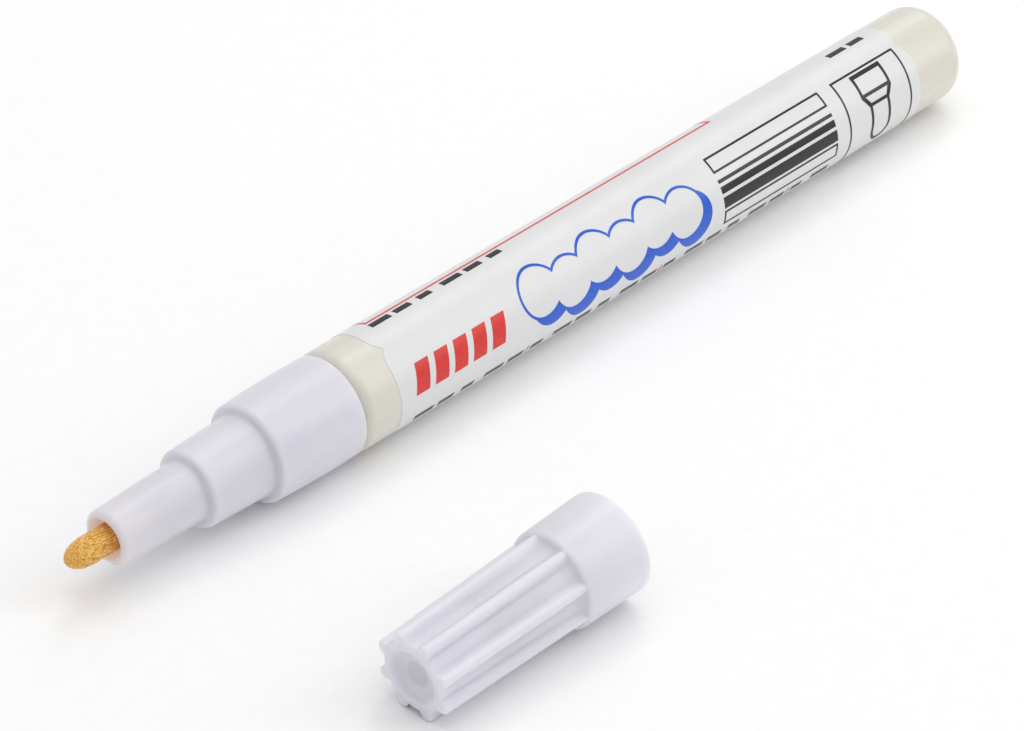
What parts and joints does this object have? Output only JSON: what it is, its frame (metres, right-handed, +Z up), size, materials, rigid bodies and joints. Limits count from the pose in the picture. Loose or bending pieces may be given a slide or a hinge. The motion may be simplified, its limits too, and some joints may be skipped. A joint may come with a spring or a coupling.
{
  "type": "touch-up paint pen",
  "caption": "Fine bullet-tip paint marker with a press-to-open valve behind its nib, lying with its ribbed cap taken off beside it.",
  "frame": {"origin": "on the table, under the middle of the box round the pen and its cap", "axes": "+X along the pen from its nib to its tail, +Y from the cap to the pen, +Z up from the table"},
  "size_m": [0.1366, 0.0492, 0.012],
  "materials": {
    "barrel_lacquer": "satin ivory lacquer on impact-extruded aluminium",
    "label_film": "satin white polypropylene film",
    "ink_red": "printed ink",
    "ink_blue": "printed ink",
    "ink_black": "printed ink",
    "moulded_pp": "cloudy natural polypropylene, injection moulded",
    "nib_fibre": "bonded acrylic fibre",
    "valve_pp": "natural polypropylene",
    "washer_rubber": "soft rubber",
    "stem_acetal": "moulded acetal",
    "spring_steel": "stainless spring wire",
    "ball_steel": "polished steel ball"
  },
  "bodies": {
    "pen": {"barrel": "barrel_lacquer", "label": "label_film", "print_red": "ink_red", "print_blue": "ink_blue", "print_black": "ink_black", "front_section": "moulded_pp", "valve_body": "valve_pp", "spring_retainer": "valve_pp", "valve_spring": "spring_steel", "mixing_ball": "ball_steel", "cap": "moulded_pp"},
    "plunger": {"nib": "nib_fibre", "seat_washer": "washer_rubber", "valve_stem": "stem_acetal"}
  },
  "joints": [
    {"name": "valve_press", "type": "slide", "parent": "pen", "child": "plunger", "axis": [1, 0, 0], "range_m": [0, 0.0018], "stiffness_N_per_m": 600, "springref_m": -0.0015, "deforming": ["valve_spring"]}
  ]
}
